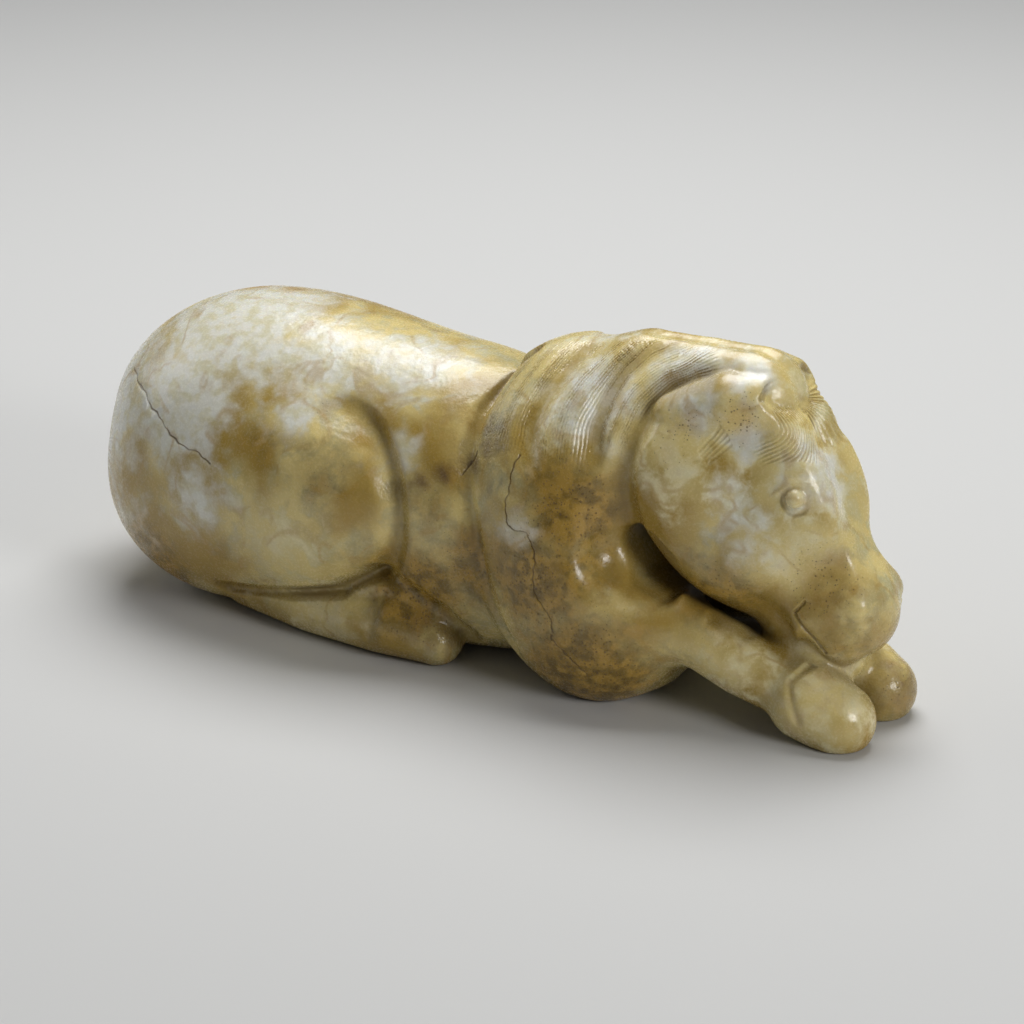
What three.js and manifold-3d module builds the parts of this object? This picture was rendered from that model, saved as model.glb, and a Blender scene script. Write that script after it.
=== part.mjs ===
// A recumbent horse carved from one pebble of jade: legs folded under the body, muzzle resting on the
// forelegs, and a slot pierced between the jaw and the forelegs.
import * as THREE from "three";
import { mergeVertices } from "three/addons/utils/BufferGeometryUtils.js";
import Module from "manifold-3d";

// Driving sizes, in millimetres. The figure's box is exactly LENGTH x WIDTH x HEIGHT.
const LENGTH = 112;
const WIDTH = 42;
const HEIGHT = 44;

// The carving is drawn near this size in the box from LOW to HIGH, +X towards the head, and cut level at
// the height GROUND. CELL is the pitch of its net, which is then thinned out to MOST_TRIANGLES.
const LOW = [-61, -22, -2.5];
const HIGH = [54, 22, 46.5];
const GROUND = 0.7;
const CELL = 0.6;
const MOST_TRIANGLES = 9500;

const smoothMin = (a, b, k) => {
  const h = k - Math.abs(a - b);
  return Math.min(a, b) - (h > 0 ? (h * h) / (4 * k) : 0);
};
const smoothMax = (a, b, k) => -smoothMin(-a, -b, k);

// An ellipsoid with half axes r, turned by the angles (degrees) about X, Y and Z.
function egg([cx, cy, cz], [rx, ry, rz], turn = [0, 0, 0]) {
  const q = new THREE.Quaternion().setFromEuler(
    new THREE.Euler(...turn.map(THREE.MathUtils.degToRad), "ZYX"),
  );
  const m = new THREE.Matrix4().makeRotationFromQuaternion(q).elements;
  return (x, y, z) => {
    const dx = x - cx;
    const dy = y - cy;
    const dz = z - cz;
    const a = (m[0] * dx + m[1] * dy + m[2] * dz) / rx;
    const b = (m[4] * dx + m[5] * dy + m[6] * dz) / ry;
    const c = (m[8] * dx + m[9] * dy + m[10] * dz) / rz;
    const k0 = Math.hypot(a, b, c);
    const k1 = Math.hypot(a / rx, b / ry, c / rz);
    return k1 < 1e-9 ? -Math.min(rx, ry, rz) : (k0 * (k0 - 1)) / k1;
  };
}

// A tapered tube through points [x, y, z, radius].
function limb(points) {
  return (x, y, z) => {
    let best = Infinity;
    for (let i = 0; i + 1 < points.length; i++) {
      const [ax, ay, az, ar] = points[i];
      const [bx, by, bz, br] = points[i + 1];
      const ux = bx - ax;
      const uy = by - ay;
      const uz = bz - az;
      const t = THREE.MathUtils.clamp(
        ((x - ax) * ux + (y - ay) * uy + (z - az) * uz) / (ux * ux + uy * uy + uz * uz),
        0,
        1,
      );
      const d =
        Math.hypot(x - ax - t * ux, y - ay - t * uy, z - az - t * uz) - (ar + t * (br - ar));
      best = Math.min(best, d);
    }
    return best;
  };
}

// The distance in a plane from (u, v) to a line through points [u, v].
function lineDistance(points, u, v) {
  let best = Infinity;
  for (let i = 0; i + 1 < points.length; i++) {
    const [au, av] = points[i];
    const du = points[i + 1][0] - au;
    const dv = points[i + 1][1] - av;
    const t = THREE.MathUtils.clamp(
      ((u - au) * du + (v - av) * dv) / (du * du + dv * dv),
      0,
      1,
    );
    best = Math.min(best, Math.hypot(u - au - t * du, v - av - t * dv));
  }
  return best;
}

// 1 on the line and 0 at the given half width, with a round bottom.
const bell = (distance, halfWidth) => {
  const t = distance / halfWidth;
  return t < 1 ? (1 - t * t) ** 2 : 0;
};

const rump = egg([-34, 0, 20.4], [24, 19.6, 18.4]);
const buttock = egg([-37.8, 8.5, 13.3], [16.6, 10, 12.2]);
const barrel = egg([-10, 0, 19.6], [29, 17, 17.6]);
const belly = egg([-8, 0, 9], [30, 12.5, 8.6]);
const thighDisc = egg([-16.4, 12, 21.6], [10.6, 7.7, 10.6]);
const haunch = egg([-29, 10.5, 17.5], [17, 10, 14.5]);
const hindLeg = limb([
  [-32, 11.5, 4.2, 2.9],
  [-22, 12.4, 4.3, 3.6],
  [-11, 12.4, 4.5, 4.0],
]);
const hindHoof = limb([
  [-8.5, 12.2, 5.0, 4.5],
  [-3.6, 11.8, 3.7, 3.3],
]);
const tail = limb([
  [-56.6, 0, 27, 1.2],
  [-57.3, 0.8, 19, 2.0],
  [-54.6, 4.5, 10.5, 2.3],
  [-48.5, 10, 5.8, 2.0],
  [-41, 14.5, 4.6, 1.2],
]);

const neckBase = egg([11.2, 0, 21], [16, 16.4, 20.8]);
const crest = egg([24, 0, 28.6], [17, 12, 13.9]);
const poll = limb([
  [20, 0, 37.5, 6.4],
  [33.5, 0, 38.7, 5.9],
]);
const shoulder = egg([17, 8.6, 12.6], [11.4, 8, 12.6]);
const breast = egg([20.5, 4.5, 8.4], [7.6, 7, 7.8]);
// How far the cheeks stand out to each side. The throat, the brows and the eyes follow them.
const CHEEK_WIDTH = 9.3;
// The soft hollow behind the jowl, where the collar of the neck turns in to meet the head.
const throat = limb([
  [22.4, CHEEK_WIDTH + 5.7, 33, 2.2],
  [22.4, CHEEK_WIDTH + 5.3, 27, 3.4],
  [23.6, CHEEK_WIDTH + 4.7, 21.5, 4.6],
  [27, CHEEK_WIDTH + 5.2, 19, 3.6],
]);
const foreLeg = limb([
  [20, 8.5, 12.4, 5],
  [31, 7, 10.8, 4.1],
  [36, 6.4, 8.3, 3.9],
  [41, 5.6, 6.4, 3.6],
]);
const foreHoof = limb([
  [44.4, 5.5, 5.3, 4.9],
  [48.2, 5.2, 3.6, 4.4],
]);
const legWeb = egg([31, 0, 7.5], [14, 5, 3.4]);
const chinWeb = egg([42.8, 0, 11.2], [6.2, 5.4, 7]);
// The gap runs from a hole behind the jaw, along under the jaw, to a round end behind the chin.
const hole = limb([
  [23.2, 0, 21.4, 1.8],
  [24.8, 0, 18.3, 1.8],
  [27.4, 0, 16.6, 1.3],
]);
const gapEnd = limb([
  [33.4, 0, 14.2, 0.8],
  [36.8, 0, 13.2, 1.3],
]);
const GAP = 1.0;
const gapReach = limb([
  [24, 0, 19.5, 4],
  [28, 0, 15.5, 4.5],
  [34.6, 0, 12.4, 3.6],
]);

// Carved lines, each a path [x, z] in the side view.
const STIFLE = [-16, 21.6];
const STIFLE_R = 10.1;
const HOCK_LINE = [
  [-33, 5.2],
  [-22.4, 7],
  [-15.8, 8.6],
  [-10.4, 12.2],
];
const FETLOCK_LINE = [
  [-9.2, 9.4],
  [-9.6, 6.5],
  [-10.6, 3.5],
];
const SHOULDER_LINE = [
  [4.4, 40],
  [2.6, 37],
  [1.2, 33],
  [1.4, 29],
  [2, 26],
  [3.8, 21],
  [5.6, 15],
  [6.6, 11],
  [8.7, 6],
];
const MANE_LINES = [
  [
    [15.5, 44.5],
    [12.1, 41.4],
    [11.3, 39.6],
    [10.4, 37.4],
    [10.2, 34],
    [10.9, 30.7],
  ],
  [
    [24.5, 45],
    [21, 43],
    [19.1, 40.7],
    [18.2, 38.2],
    [18.1, 35],
    [18.6, 31.5],
  ],
];
const JOWL_LINE = [
  [33, 42.4],
  [28.4, 41.2],
  [26, 39.8],
  [24.3, 37.8],
  [22.9, 34.4],
  [22.2, 31],
  [22.2, 27],
  [22.8, 22],
];

// The head is drawn in its own frame: a runs down the face from the poll, n stands out of the face.
const HEAD = [33, 29];
const FACE_TILT = THREE.MathUtils.degToRad(29.6);
const FACE_SIN = Math.sin(FACE_TILT);
const FACE_COS = Math.cos(FACE_TILT);
const cheekRound = egg([-1, 0, -1], [12, 900, 11.6]);
const jaw = egg([6, 0, -3.8], [10, 9, 7.2]);
const brow = egg([3.8, CHEEK_WIDTH - 5.4, 7.7], [5.6, 2.4, 3.2]);
const forelock = egg([-2.6, 2.6, 8.3], [4, 3.5, 3]);
const muzzle = egg([18, 0, 5], [6.4, 5.9, 6]);
const lip = egg([19.2, 2.6, 2.9], [4.9, 3, 3.6]);
const nostril = egg([18.2, 4, 8.2], [2.4, 1.7, 1.7]);
const chin = limb([
  [12, 0, -0.6, 5.5],
  [19, 0, -1.8, 4.9],
]);
const EYE = [3.95, CHEEK_WIDTH - 3.1, 8.2];
const EYE_R = 1.05;
const eyeball = egg(EYE, [EYE_R, EYE_R, EYE_R]);
const NOSE_HEIGHT = 10;
const MOUTH = 1.5;
const MOUTH_LINE = [
  [14.6, 3.2],
  [15.6, 1.8],
  [24, 1.5],
];
const ear = limb([
  [36.4, 3.5, 39.6, 3.2],
  [32.5, 4.6, 39.2, 3.7],
  [26.4, 7.2, 37.6, 2],
]);
const earHollow = egg([-6.3, 4.6, 11.6], [2.3, 4.8, 3]);

// The cheeks and jaw alone, which bound the gap from above.
function jawField(a, s, n) {
  let cheek = smoothMax(cheekRound(a, 0, n), s - CHEEK_WIDTH, 5);
  cheek = smoothMax(cheek, 0.9 * (s - CHEEK_WIDTH + 0.48 * (n - 2)), 4);
  return smoothMin(cheek, jaw(a, s, n), 4);
}

function headField(x, s, z, a, n) {
  let d = jawField(a, s, n);
  d = smoothMin(d, brow(a, s, n), 3);
  // A flat-fronted nose with crisp edges, narrowest half way down.
  const width = 4.2 - 0.8 * bell(Math.abs(a - 13), 6);
  const side = (s - width - 0.35 * (NOSE_HEIGHT - n)) * 0.944;
  let nose = smoothMax(n - NOSE_HEIGHT, side, 1.4);
  nose = smoothMax(nose, Math.max(a - 19, 0.5 - n), 2.5);
  d = smoothMin(d, smoothMax(nose, 1 - a, 2), 3);
  d = smoothMin(d, forelock(a, s, n), 0.8);
  d = smoothMin(d, chin(a, s, n), 2);
  let lips = smoothMin(muzzle(a, s, n), nostril(a, s, n), 1.2);
  lips = smoothMin(lips, lip(a, s, n), 1.5);
  lips = smoothMax(lips, MOUTH - n, 0.8);
  d = smoothMin(d, lips, 0.8);
  if (s > 2) d += 0.5 * bell(lineDistance(MOUTH_LINE, a, n), 0.9);
  const toEye = Math.hypot(a - EYE[0], s - EYE[1], n - EYE[2]);
  d += 0.35 * bell(Math.abs(toEye - 1.45), 0.6);
  d = smoothMin(d, eyeball(a, s, n), 0.3);
  d = smoothMin(d, ear(x, s, z), 1.8);
  return smoothMax(d, -earHollow(a, s, n), 0.8);
}

function horse(x, y, z) {
  const s = Math.abs(y);
  let d = smoothMin(rump(x, y, z), barrel(x, y, z), 9);
  d = smoothMin(d, buttock(x, s, z), 5);
  d = smoothMin(d, belly(x, y, z), 5);
  const thigh = smoothMin(thighDisc(x, s, z), haunch(x, s, z), 7);
  d = smoothMin(d, thigh, 1.6);
  d = smoothMin(d, tail(x, y, z), 1);
  if (s > 6 && x > -22 && z > 11) {
    const arc = Math.abs(Math.hypot(x - STIFLE[0], z - STIFLE[1]) - STIFLE_R);
    d += 1.3 * bell(arc, 2) * THREE.MathUtils.smoothstep(x, -22, -10);
  }
  const hind = smoothMin(hindLeg(x, s, z), hindHoof(x, s, z), 0.5);
  d = smoothMin(d, hind, 1);
  if (s > 8) {
    d += 1.1 * bell(lineDistance(HOCK_LINE, x, z), 1.6);
    d += 0.5 * bell(lineDistance(FETLOCK_LINE, x, z), 1);
  }
  let neck = smoothMin(neckBase(x, y, z), crest(x, y, z), 5);
  neck = smoothMin(neck, poll(x, y, z), 3);
  neck = smoothMin(neck, shoulder(x, s, z), 5);
  neck = smoothMin(neck, breast(x, s, z), 2);
  neck = smoothMax(neck, 1.4 - x, 1.5);
  const lockDepth =
    THREE.MathUtils.smoothstep(z, 29, 36) * (0.25 + 0.6 * THREE.MathUtils.smoothstep(s, 1, 6));
  for (const line of MANE_LINES) neck += lockDepth * bell(lineDistance(line, x, z), 2.6);
  neck += 0.5 * bell(s, 1.6) * THREE.MathUtils.smoothstep(x, 16, 22);
  d = smoothMin(d, neck, 0.8);
  if (s > 1) d += 0.6 * bell(lineDistance(SHOULDER_LINE, x, z), 1.6);
  const fore = smoothMin(foreLeg(x, s, z), foreHoof(x, s, z), 0.8);
  d = smoothMin(d, fore, 2.5);
  d = smoothMin(d, legWeb(x, y, z), 1.5);
  d = smoothMax(d, -throat(x, s, z), 3);
  d += 1.2 * bell(lineDistance(JOWL_LINE, x, z), 2.4) * THREE.MathUtils.smoothstep(s, 2, 6);
  d = smoothMin(d, chinWeb(x, y, z), 1.6);
  const dx = x - HEAD[0];
  const dz = z - HEAD[1];
  const a = FACE_SIN * dx - FACE_COS * dz;
  const n = FACE_COS * dx + FACE_SIN * dz;
  const gap = Math.min(hole(x, 0, z), gapEnd(x, 0, z));
  d = smoothMax(d, -gap, 1);
  d = smoothMax(d, -Math.max(jawField(a, s, n) - GAP, gapReach(x, 0, z)), 0.6);
  return smoothMin(d, headField(x, s, z, a, n), 0.4);
}

// The surface of the carving as a fine net of triangles: one vertex in each cell the surface crosses.
function netSurface(field, low, high, cell) {
  const [nx, ny, nz] = low.map((v, i) => Math.ceil((high[i] - v) / cell) + 2);
  const value = new Float32Array(nx * ny * nz);
  const at = (i, j, k) => (k * ny + j) * nx + i;
  const place = (i, j, k) => [low[0] + i * cell, low[1] + j * cell, low[2] + k * cell];
  const block = 5;
  const reach = block * cell * 0.9 + 2.5;
  for (let k0 = 0; k0 < nz; k0 += block) {
    for (let j0 = 0; j0 < ny; j0 += block) {
      for (let i0 = 0; i0 < nx; i0 += block) {
        const middle = field(...place(i0 + block / 2, j0 + block / 2, k0 + block / 2));
        for (let k = k0; k < Math.min(k0 + block, nz); k++) {
          for (let j = j0; j < Math.min(j0 + block, ny); j++) {
            for (let i = i0; i < Math.min(i0 + block, nx); i++) {
              value[at(i, j, k)] = Math.abs(middle) > reach ? middle : field(...place(i, j, k));
            }
          }
        }
      }
    }
  }
  const vertexOf = new Int32Array(nx * ny * nz).fill(-1);
  const vertices = [];
  const corner = new Float64Array(8);
  for (let k = 0; k < nz - 1; k++) {
    for (let j = 0; j < ny - 1; j++) {
      for (let i = 0; i < nx - 1; i++) {
        let inside = 0;
        for (let b = 0; b < 8; b++) {
          corner[b] = value[at(i + (b & 1), j + ((b >> 1) & 1), k + (b >> 2))];
          if (corner[b] < 0) inside++;
        }
        if (inside === 0 || inside === 8) continue;
        const sum = [0, 0, 0];
        let count = 0;
        for (let b = 0; b < 8; b++) {
          for (let axis = 0; axis < 3; axis++) {
            const e = b | (1 << axis);
            if (e === b || corner[b] < 0 === corner[e] < 0) continue;
            const t = corner[b] / (corner[b] - corner[e]);
            for (let c = 0; c < 3; c++) sum[c] += ((b >> c) & 1) + (c === axis ? t : 0);
            count++;
          }
        }
        vertexOf[at(i, j, k)] = vertices.length;
        vertices.push(place(i + sum[0] / count, j + sum[1] / count, k + sum[2] / count));
      }
    }
  }
  const triangles = [];
  const quad = (a, b, c, d, forward) => {
    if (forward) triangles.push([a, b, c], [a, c, d]);
    else triangles.push([a, c, b], [a, d, c]);
  };
  const v = (i, j, k) => vertexOf[at(i, j, k)];
  for (let k = 1; k < nz - 1; k++) {
    for (let j = 1; j < ny - 1; j++) {
      for (let i = 1; i < nx - 1; i++) {
        const here = value[at(i, j, k)] < 0;
        if (here !== value[at(i + 1, j, k)] < 0) {
          quad(v(i, j - 1, k - 1), v(i, j, k - 1), v(i, j, k), v(i, j - 1, k), here);
        }
        if (here !== value[at(i, j + 1, k)] < 0) {
          quad(v(i - 1, j, k - 1), v(i - 1, j, k), v(i, j, k), v(i, j, k - 1), here);
        }
        if (here !== value[at(i, j, k + 1)] < 0) {
          quad(v(i - 1, j - 1, k), v(i, j - 1, k), v(i, j, k), v(i - 1, j, k), here);
        }
      }
    }
  }
  return { vertices, triangles };
}

// Edges are collapsed, the least harmful first, until the mesh has the wanted number of triangles. Each
// vertex carries a quadric: the sum of squared distances to the planes of the faces it stands for.
function simplify({ vertices, triangles }, wanted) {
  const count = vertices.length;
  const position = vertices.map((p) => [...p]);
  const faces = triangles.map((t) => [...t]);
  const facesOf = Array.from({ length: count }, () => new Set());
  faces.forEach((face, f) => face.forEach((v) => facesOf[v].add(f)));
  const quadric = Array.from({ length: count }, () => new Float64Array(10));
  const normalOf = (p, q, r) => {
    const [ux, uy, uz] = [q[0] - p[0], q[1] - p[1], q[2] - p[2]];
    const [wx, wy, wz] = [r[0] - p[0], r[1] - p[1], r[2] - p[2]];
    return [uy * wz - uz * wy, uz * wx - ux * wz, ux * wy - uy * wx];
  };
  for (const face of faces) {
    const [p, q, r] = face.map((v) => position[v]);
    const normal = normalOf(p, q, r);
    const size = Math.hypot(...normal) || 1e-12;
    const [a, b, c] = normal.map((x) => x / size);
    const d = -(a * p[0] + b * p[1] + c * p[2]);
    const terms = [a * a, a * b, a * c, a * d, b * b, b * c, b * d, c * c, c * d, d * d];
    for (const v of face) terms.forEach((term, i) => (quadric[v][i] += term * size));
  }
  const errorAt = (q, [x, y, z]) =>
    q[0] * x * x + 2 * q[1] * x * y + 2 * q[2] * x * z + 2 * q[3] * x + q[4] * y * y +
    2 * q[5] * y * z + 2 * q[6] * y + q[7] * z * z + 2 * q[8] * z + q[9];
  const stamp = new Int32Array(count);
  const heap = [];
  const rise = (item) => {
    let i = heap.push(item) - 1;
    while (i > 0) {
      const up = (i - 1) >> 1;
      if (heap[up].cost <= item.cost) break;
      heap[i] = heap[up];
      i = up;
    }
    heap[i] = item;
  };
  const take = () => {
    const top = heap[0];
    const last = heap.pop();
    if (heap.length > 0) {
      let i = 0;
      for (;;) {
        let child = 2 * i + 1;
        if (child >= heap.length) break;
        if (child + 1 < heap.length && heap[child + 1].cost < heap[child].cost) child++;
        if (heap[child].cost >= last.cost) break;
        heap[i] = heap[child];
        i = child;
      }
      heap[i] = last;
    }
    return top;
  };
  const offer = (u, v) => {
    const q = quadric[u].map((value, i) => value + quadric[v][i]);
    const det =
      q[0] * (q[4] * q[7] - q[5] * q[5]) - q[1] * (q[1] * q[7] - q[5] * q[2]) +
      q[2] * (q[1] * q[5] - q[4] * q[2]);
    const middle = position[u].map((value, i) => (value + position[v][i]) / 2);
    const candidates = [middle, position[u], position[v]];
    if (Math.abs(det) > 1e-7) {
      const [bx, by, bz] = [-q[3], -q[6], -q[8]];
      const best = [
        (bx * (q[4] * q[7] - q[5] * q[5]) - q[1] * (by * q[7] - q[5] * bz) +
          q[2] * (by * q[5] - q[4] * bz)) / det,
        (q[0] * (by * q[7] - bz * q[5]) - bx * (q[1] * q[7] - q[5] * q[2]) +
          q[2] * (q[1] * bz - by * q[2])) / det,
        (q[0] * (q[4] * bz - by * q[5]) - q[1] * (q[1] * bz - by * q[2]) +
          bx * (q[1] * q[5] - q[4] * q[2])) / det,
      ];
      const away = Math.hypot(...best.map((value, i) => value - middle[i]));
      const edge = Math.hypot(...position[u].map((value, i) => value - position[v][i]));
      if (away < 2 * edge) candidates.unshift(best);
    }
    let spot = candidates[0];
    let cost = Infinity;
    for (const candidate of candidates) {
      const error = errorAt(q, candidate);
      if (error < cost - 1e-9) [spot, cost] = [candidate, error];
    }
    const edge = Math.hypot(...position[u].map((value, i) => value - position[v][i]));
    rise({ cost: cost + 1e-4 * edge * edge, u, v, spot, stampU: stamp[u], stampV: stamp[v] });
  };
  const neighbours = (v) => {
    const around = new Set();
    for (const f of facesOf[v]) for (const w of faces[f]) if (w !== v) around.add(w);
    return around;
  };
  for (let v = 0; v < count; v++) for (const w of neighbours(v)) if (v < w) offer(v, w);
  let left = faces.length;
  while (left > wanted && heap.length > 0) {
    const { u, v, spot, stampU, stampV } = take();
    if (stamp[u] !== stampU || stamp[v] !== stampV) continue;
    const around = neighbours(u);
    let shared = 0;
    for (const w of neighbours(v)) if (around.has(w)) shared++;
    if (shared !== 2) continue;
    // A face may not turn over or thin out to a sliver.
    const spoils = (moved, other) => {
      for (const f of facesOf[moved]) {
        if (faces[f].includes(other)) continue;
        const old = faces[f].map((w) => position[w]);
        const now = faces[f].map((w) => (w === moved ? spot : position[w]));
        const before = normalOf(...old);
        const after = normalOf(...now);
        const dot = before[0] * after[0] + before[1] * after[1] + before[2] * after[2];
        const size = Math.hypot(...after);
        if (dot < 0.3 * Math.hypot(...before) * size || size < 0.01) return true;
      }
      return false;
    };
    if (spoils(u, v) || spoils(v, u)) continue;
    position[u] = spot;
    quadric[v].forEach((value, i) => (quadric[u][i] += value));
    for (const f of facesOf[v]) {
      if (faces[f].includes(u)) {
        for (const w of faces[f]) if (w !== v) facesOf[w].delete(f);
        faces[f] = null;
        left--;
      } else {
        faces[f] = faces[f].map((w) => (w === v ? u : w));
        facesOf[u].add(f);
      }
    }
    facesOf[v].clear();
    stamp[u]++;
    stamp[v] = -1;
    for (const w of neighbours(u)) offer(u, w);
  }
  const kept = new Map();
  const outVertices = [];
  const outTriangles = [];
  for (const face of faces) {
    if (face === null) continue;
    for (const v of face) {
      if (kept.has(v)) continue;
      kept.set(v, outVertices.length);
      outVertices.push(position[v]);
    }
    outTriangles.push(face.map((v) => kept.get(v)));
  }
  return { vertices: outVertices, triangles: outTriangles };
}

const solids = await Module();
solids.setup();

function toManifold(geometry) {
  return new solids.Manifold(
    new solids.Mesh({
      numProp: 3,
      vertProperties: new Float32Array(geometry.attributes.position.array),
      triVerts: new Uint32Array(geometry.index.array),
    }),
  );
}

function toGeometry(vertices, triangles) {
  const geometry = new THREE.BufferGeometry();
  geometry.setAttribute("position", new THREE.Float32BufferAttribute(vertices, 3));
  geometry.setIndex(Array.from(triangles));
  return geometry;
}

const carving = simplify(netSurface(horse, LOW, HIGH, CELL), MOST_TRIANGLES);
// Corners that lie almost on the ground are put on it, so that the level cut leaves no slivers.
const NEAR_GROUND = 0.15;
for (const vertex of carving.vertices) {
  if (Math.abs(vertex[2] - GROUND) < NEAR_GROUND) vertex[2] = GROUND;
}
const GROUND_DEPTH = 10;
const ground = new THREE.BoxGeometry(2 * LENGTH, 2 * WIDTH, GROUND_DEPTH);
ground.translate(0, 0, GROUND - GROUND_DEPTH / 2);
ground.deleteAttribute("normal");
ground.deleteAttribute("uv");
const level = toManifold(toGeometry(carving.vertices.flat(), carving.triangles.flat()))
  .subtract(toManifold(mergeVertices(ground)))
  .getMesh();
const geometry = toGeometry(level.vertProperties, level.triVerts);

// Where two folds of the carving meet at one point, each fold's corner is drawn back a little along its
// own faces, so that the folds don't share an edge.
const DRAWN_BACK = 0.08;
const corners = geometry.attributes.position;
const around = Array.from({ length: corners.count }, () => []);
for (let i = 0; i < geometry.index.count; i += 3) {
  const face = [0, 1, 2].map((c) => geometry.index.getX(i + c));
  face.forEach((v, c) => around[v].push(face[(c + 1) % 3]));
}
const sharers = new Map();
for (let v = 0; v < corners.count; v++) {
  const key = [corners.getX(v), corners.getY(v), corners.getZ(v)].map((c) => c.toFixed(2)).join();
  if (!sharers.has(key)) sharers.set(key, []);
  sharers.get(key).push(v);
}
const cornerAt = (v) => new THREE.Vector3().fromBufferAttribute(corners, v);
const drawnBack = [];
for (const group of sharers.values()) {
  if (group.length < 2) continue;
  for (const v of group) {
    const middle = new THREE.Vector3();
    around[v].forEach((w) => middle.add(cornerAt(w)));
    middle.divideScalar(around[v].length);
    drawnBack.push([v, cornerAt(v).lerp(middle, DRAWN_BACK)]);
  }
}
for (const [v, place] of drawnBack) corners.setXYZ(v, place.x, place.y, place.z);

// Fitted to the driving sizes, with the middle of the underside's box at the origin.
geometry.computeBoundingBox();
const { min, max } = geometry.boundingBox;
geometry.translate(-(min.x + max.x) / 2, -(min.y + max.y) / 2, -min.z);
geometry.scale(LENGTH / (max.x - min.x), WIDTH / (max.y - min.y), HEIGHT / (max.z - min.z));
geometry.computeVertexNormals();

const jade = new THREE.MeshStandardMaterial({ color: 0xc9bf97, roughness: 0.25 });
const horseFigure = new THREE.Mesh(geometry, jade);
horseFigure.name = "horse_figure";
const figure = new THREE.Group();
figure.name = "jade_horse";
figure.add(horseFigure);

export default figure;
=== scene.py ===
"""A recumbent horse carved from one pebble of jade, with its finest carving and its stains."""

import math

import bpy
import numpy as np
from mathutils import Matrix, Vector


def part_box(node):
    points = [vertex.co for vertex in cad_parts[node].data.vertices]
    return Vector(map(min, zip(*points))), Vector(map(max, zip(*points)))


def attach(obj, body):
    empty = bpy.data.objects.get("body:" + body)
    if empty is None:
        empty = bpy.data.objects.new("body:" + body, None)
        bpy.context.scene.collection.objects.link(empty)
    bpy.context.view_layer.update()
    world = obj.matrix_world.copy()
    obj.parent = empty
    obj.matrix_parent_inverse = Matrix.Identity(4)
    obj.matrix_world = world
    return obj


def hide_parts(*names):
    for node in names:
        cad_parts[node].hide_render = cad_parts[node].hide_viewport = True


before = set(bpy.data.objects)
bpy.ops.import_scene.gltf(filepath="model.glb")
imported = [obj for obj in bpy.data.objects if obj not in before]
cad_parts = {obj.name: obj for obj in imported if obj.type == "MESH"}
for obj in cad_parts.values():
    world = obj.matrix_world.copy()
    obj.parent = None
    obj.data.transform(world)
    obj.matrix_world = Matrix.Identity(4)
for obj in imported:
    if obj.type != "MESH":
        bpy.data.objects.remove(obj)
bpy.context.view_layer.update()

MM = 0.001
PHOTO_SIZE = 1024

# The carving, drawn in millimetres in the solid's own drawing frame: +X towards the head, Z up. The
# finished mesh is fitted to the solid's box. Forms are signed distances, and s is the distance from the
# mid-plane.
LOW = np.array([-61.0, -22.0, -2.5])
HIGH = np.array([54.0, 22.0, 46.5])
GROUND = 0.7
CELL = 0.45
REFINEMENTS = 3
MOST_TRIANGLES = 196000


def smooth_min(a, b, k):
    h = np.maximum(k - np.abs(a - b), 0)
    return np.minimum(a, b) - h * h / (4 * k)


def smooth_max(a, b, k):
    return -smooth_min(-a, -b, k)


def smoothstep(x, low, high):
    t = np.clip((x - low) / (high - low), 0, 1)
    return t * t * (3 - 2 * t)


def bell(distance, half_width):
    """1 on a line and 0 at the given half width, with a round bottom."""
    t = np.minimum(np.abs(distance) / half_width, 1)
    return (1 - t * t) ** 2


def egg(centre, radii):
    """An ellipsoid."""
    (cx, cy, cz), (rx, ry, rz) = centre, radii

    def field(x, y, z):
        a, b, c = (x - cx) / rx, (y - cy) / ry, (z - cz) / rz
        k0 = np.sqrt(a * a + b * b + c * c) + 1e-9
        k1 = np.sqrt((a / rx) ** 2 + (b / ry) ** 2 + (c / rz) ** 2) + 1e-9 / max(rx, ry, rz)
        return k0 * (k0 - 1) / k1

    return field


def limb(points):
    """A tapered tube through points (x, y, z, radius)."""

    def field(x, y, z):
        best = np.inf
        for (ax, ay, az, ar), (bx, by, bz, br) in zip(points, points[1:]):
            ux, uy, uz = bx - ax, by - ay, bz - az
            along = (x - ax) * ux + (y - ay) * uy + (z - az) * uz
            t = np.clip(along / (ux * ux + uy * uy + uz * uz), 0, 1)
            away = np.sqrt((x - ax - t * ux) ** 2 + (y - ay - t * uy) ** 2 + (z - az - t * uz) ** 2)
            best = np.minimum(best, away - (ar + t * (br - ar)))
        return best

    return field


def line_distance(points, u, v):
    """The distance in a plane from (u, v) to a line through points."""
    best = np.inf
    for (au, av), (bu, bv) in zip(points, points[1:]):
        du, dv = bu - au, bv - av
        pu, pv = u - au, v - av
        t = np.minimum(np.maximum((pu * du + pv * dv) / (du * du + dv * dv), 0), 1)
        best = np.minimum(best, (pu - t * du) ** 2 + (pv - t * dv) ** 2)
    return np.sqrt(best)


def side_of_line(points, u, v):
    """That distance, but negative behind a line that runs downwards, towards the tail."""
    best = np.full(u.shape, np.inf)
    side = np.zeros(u.shape)
    for (au, av), (bu, bv) in zip(points, points[1:]):
        du, dv = bu - au, bv - av
        pu, pv = u - au, v - av
        t = np.minimum(np.maximum((pu * du + pv * dv) / (du * du + dv * dv), 0), 1)
        away = (pu - t * du) ** 2 + (pv - t * dv) ** 2
        nearer = away < best
        np.copyto(side, du * pv - dv * pu, where=nearer)
        np.copyto(best, away, where=nearer)
    return np.copysign(np.sqrt(best), side)


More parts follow.
